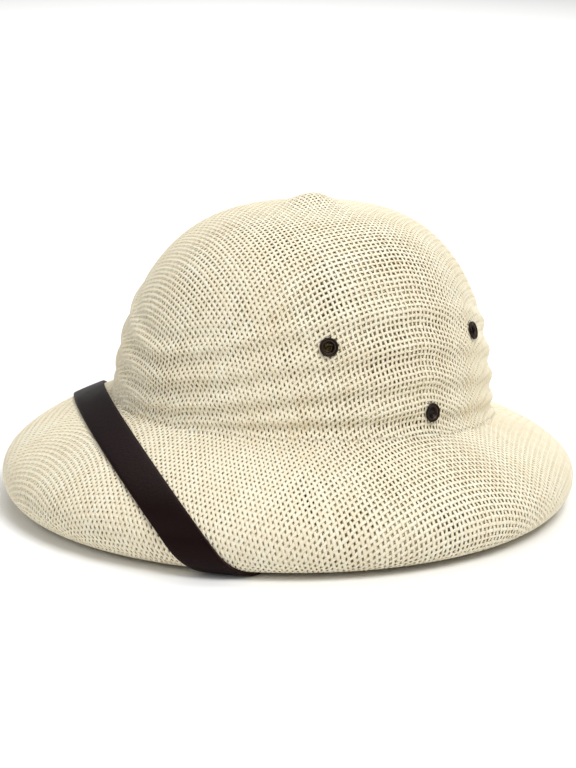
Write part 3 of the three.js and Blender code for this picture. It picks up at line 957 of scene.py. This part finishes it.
def build_strap():
    points, normals, stand_off = strap_rows()
    rise = stand_off[:, None] + STRAP_THICKNESS * STRAP_CROWNING
    outer = points + normals * rise[..., None]
    under = (points + normals * stand_off[:, None, None])[:, ::-1]
    rings = np.concatenate([outer, under], 1)
    count, corners = rings.shape[:2]
    joined = np.arange(count) < count - 1
    faces = rings_to_faces(joined, corners).tolist()
    faces.append(list(range(corners))[::-1])
    faces.append([(count - 1) * corners + k for k in range(corners)])
    edge = np.clip((np.abs(STRAP_COLUMNS) - CUT_EDGE_FROM) / (1 - CUT_EDGE_FROM), 0, 1)
    edge = np.tile(np.concatenate([edge, edge[::-1]]), count)
    points = rings.reshape(-1, 3) + FORM_PLACE
    shares = {"cut_edge": edge}
    piece = mesh_piece("chin_strap_leather", points, faces, leather_finish(), shares)
    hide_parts("chin_strap")


build_strap()

# %% [markdown]
# Each eyelet is a metal tube turned out at both ends, and the lower two are closed and hold the
# strap. A section that is spun round the axis shows this best: a rounded flange, a bright ring where
# the metal dives in, the dark barrel and the edge that is hammered over inside. The bright ring is a
# painted highlight of lighter bronze; lighter bronze on the flange's crest and turned edges is wear.

# %% Bronze finish


def bronze_finish():
    finish = Finish("eyelet_metal")
    cloudy = finish.noise(scale=300.0, detail=3.0)
    rough = finish.noise(scale=900.0, detail=2.0)
    # Lighter bronze: a painted highlight on the lip's ring, and wear on the flange's crest and turned
    # edges.
    highlight_and_wear = finish.share("highlight_and_wear")
    base = finish.blend(cloudy, colour(24, 18, 15), colour(38, 29, 24))
    base = finish.blend(highlight_and_wear, base, colour(96, 76, 60))
    return finish.surface(
        Base_Color=base,
        Metallic=0.6,
        Specular_IOR_Level=0.3,
        Roughness=(0.34 + cloudy * 0.2).clipped(),
        Normal=finish.bump(rough, strength=0.15, distance=0.0001),
    )


# %% Build the eyelets
EYELET_SEGMENTS = 56
FLANGE_RADIUS = 5.05
FLANGE_HEIGHT = 1.3
LIP_RADIUS = 3.75
BORE_RADIUS = 2.75
BARREL_RADIUS = 3.3
PIN_RADIUS = 1.5
TURN_RADIUS = 4.6
TURN_HEIGHT = 0.8
# Where no strap lies between, the turned edge stands this far off the inside of the wall.
OPEN_GAP = 0.7
# The rounded flange starts and ends at this height, and is drawn in so many steps.
FLANGE_EDGE = 0.25
FLANGE_STEPS = 8


def eyelet_section(blind):
    """Radius, height and lighter bronze of the section, from the inside of the hat to the flange and back.
    The lighter bronze is a painted highlight at the lip and wear on the flange's crest and turned edges.
    """
    wall = -SHELL_WALL - (STRAP_STAND_OFF + STRAP_THICKNESS + CLEARANCE if blind else OPEN_GAP)
    shank = PIN_RADIUS if blind else BARREL_RADIUS
    # The third number is lighter bronze: wear on the turned edges and flange crest, a painted highlight at
    # the lip.
    rows = [(TURN_RADIUS, wall - TURN_HEIGHT * 0.5, 0.2), (TURN_RADIUS - 0.3, wall, 0.1)]
    rows += [(shank, wall, 0), (shank, CLEARANCE, 0), (FLANGE_RADIUS - 0.15, CLEARANCE, 0)]
    middle = (FLANGE_RADIUS + LIP_RADIUS) / 2
    half = (FLANGE_RADIUS - LIP_RADIUS) / 2
    for step in range(FLANGE_STEPS + 1):
        turn = math.pi * step / FLANGE_STEPS
        radius = middle + half * math.cos(turn)
        height = CLEARANCE + FLANGE_EDGE + (FLANGE_HEIGHT - FLANGE_EDGE) * math.sin(turn) ** 0.8
        rows.append((radius, height, 0.15 * (step == FLANGE_STEPS // 2)))
    # These two lip rows carry the painted highlight ring of lighter bronze.
    rows += [(LIP_RADIUS - 0.12, CLEARANCE + 0.75, 0.9), (LIP_RADIUS - 0.3, CLEARANCE + 0.6, 0.6)]
    rows += [(BORE_RADIUS + 0.3, CLEARANCE + 0.3, 0.1), (BORE_RADIUS, CLEARANCE - 0.1, 0)]
    if blind:
        rows += [(BORE_RADIUS - 0.2, CLEARANCE - 0.2, 0), (0.0, CLEARANCE - 0.22, 0)]
    else:
        rows += [(BORE_RADIUS, wall - TURN_HEIGHT * 0.6, 0), (BORE_RADIUS + 0.4, wall - TURN_HEIGHT, 0.2)]
        rows += [(TURN_RADIUS - 0.5, wall - TURN_HEIGHT, 0.3), (TURN_RADIUS, wall - TURN_HEIGHT * 0.5, 0.2)]
    if blind:
        rows.insert(0, (TURN_RADIUS - 0.5, wall - TURN_HEIGHT, 0.3))
        rows.insert(0, (0.0, wall - TURN_HEIGHT - 0.15, 0.2))
    return rows


def build_eyelet(seat, finish):
    section = np.array(eyelet_section(seat["blind"]))
    angle = np.linspace(0, 2 * math.pi, EYELET_SEGMENTS, endpoint=False)[:, None]
    x = section[:, 0] * np.cos(angle)
    y = section[:, 0] * np.sin(angle)
    local = np.stack([x, y, np.broadcast_to(section[:, 1], x.shape)], -1)
    turn = Vector((0, 0, 1)).rotation_difference(Vector(seat["axis"].tolist()))
    points = local.reshape(-1, 3) @ np.array(turn.to_matrix()).T
    points = points + seat["centre"] + FORM_PLACE
    rows = len(section)
    segment = np.arange(EYELET_SEGMENTS)[:, None]
    here = segment * rows + np.arange(rows - 1)
    after = (segment + 1) % EYELET_SEGMENTS * rows + np.arange(rows - 1)
    faces = np.stack([here, after, after + 1, here + 1], -1).reshape(-1, 4).tolist()
    shares = {"highlight_and_wear": np.tile(section[:, 2], EYELET_SEGMENTS)}
    piece = mesh_piece(seat["node"] + "_metal", points, faces, finish, shares)
    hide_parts(seat["node"])
    weld = piece.modifiers.new("weld", "WELD")
    weld.merge_threshold = 1e-6


bronze = bronze_finish()
for seat in SEATS:
    build_eyelet(seat, bronze)
print("all pieces", sum(TRIANGLES.values()), "triangles, the largest", max(TRIANGLES.values()))

# %% [markdown]
# The stage is a pale floor under soft light. A broad lamp stands high on the right of the view and a
# weaker one on the left, and the pale world fills the shadows.

# %% Floor and light
FLOOR_REACH = 6.0
WORLD_STRENGTH = 0.26
HAT_MIDDLE = Vector((0, 0, 0.08))
# Angles are in degrees, distances and sizes in metres, and power is in watts.
LAMPS = [
    {"name": "key_lamp", "azimuth": 95, "elevation": 60, "distance": 2.2, "size": 1.1, "power": 35},
    {"name": "fill_lamp", "azimuth": -5, "elevation": 32, "distance": 2.6, "size": 1.8, "power": 13},
]
FLOOR_LAMP = {"width": 2.0, "length": 3.4, "spread": 110, "power": 30, "behind": 2.1, "height": 1.9}


def add_floor():
    mesh = bpy.data.meshes.new("floor")
    corners = [(FLOOR_REACH * x, FLOOR_REACH * y, 0.0) for x, y in ((-1, -1), (1, -1), (1, 1), (-1, 1))]
    mesh.from_pydata(corners, [], [(0, 1, 2, 3)])
    finish = Finish("floor")
    mesh.materials.append(finish.surface(Base_Color=colour(250, 250, 249), Roughness=0.9))
    floor = bpy.data.objects.new("floor", mesh)
    bpy.context.scene.collection.objects.link(floor)


def add_lamp(name, azimuth, elevation, distance, size, power):
    """A square soft lamp that looks at the hat's middle."""
    back = direction(math.radians(azimuth), math.radians(elevation))
    data = bpy.data.lights.new(name, "AREA")
    data.shape = "SQUARE"
    data.size = size
    data.energy = power
    lamp = bpy.data.objects.new(name, data)
    lamp.location = HAT_MIDDLE + back * distance
    lamp.rotation_mode = "QUATERNION"
    lamp.rotation_quaternion = (-back).to_track_quat("-Z", "Y")
    bpy.context.scene.collection.objects.link(lamp)


def add_floor_lamp(width, length, spread, power, behind, height):
    """A shaded lamp over the floor behind the hat, which keeps the far floor as pale as the near one."""
    data = bpy.data.lights.new("floor_lamp", "AREA")
    data.shape = "RECTANGLE"
    data.size = width
    data.size_y = length
    data.spread = math.radians(spread)
    data.energy = power
    lamp = bpy.data.objects.new("floor_lamp", data)
    away = Vector((-math.sin(VIEW_AZIMUTH), math.cos(VIEW_AZIMUTH), 0))
    lamp.location = away * behind + Vector((0, 0, height))
    lamp.rotation_euler = (0, 0, VIEW_AZIMUTH)
    bpy.context.scene.collection.objects.link(lamp)


def add_world(strength):
    world = bpy.data.worlds.new("pale_room")
    world.use_nodes = True
    background = world.node_tree.nodes["Background"]
    background.inputs["Color"].default_value = (1.0, 1.0, 1.0, 1.0)
    background.inputs["Strength"].default_value = strength
    bpy.context.scene.world = world


add_floor()
add_world(WORLD_STRENGTH)
for lamp in LAMPS:
    add_lamp(**lamp)
add_floor_lamp(**FLOOR_LAMP)
bpy.context.scene.view_settings.view_transform = "Standard"
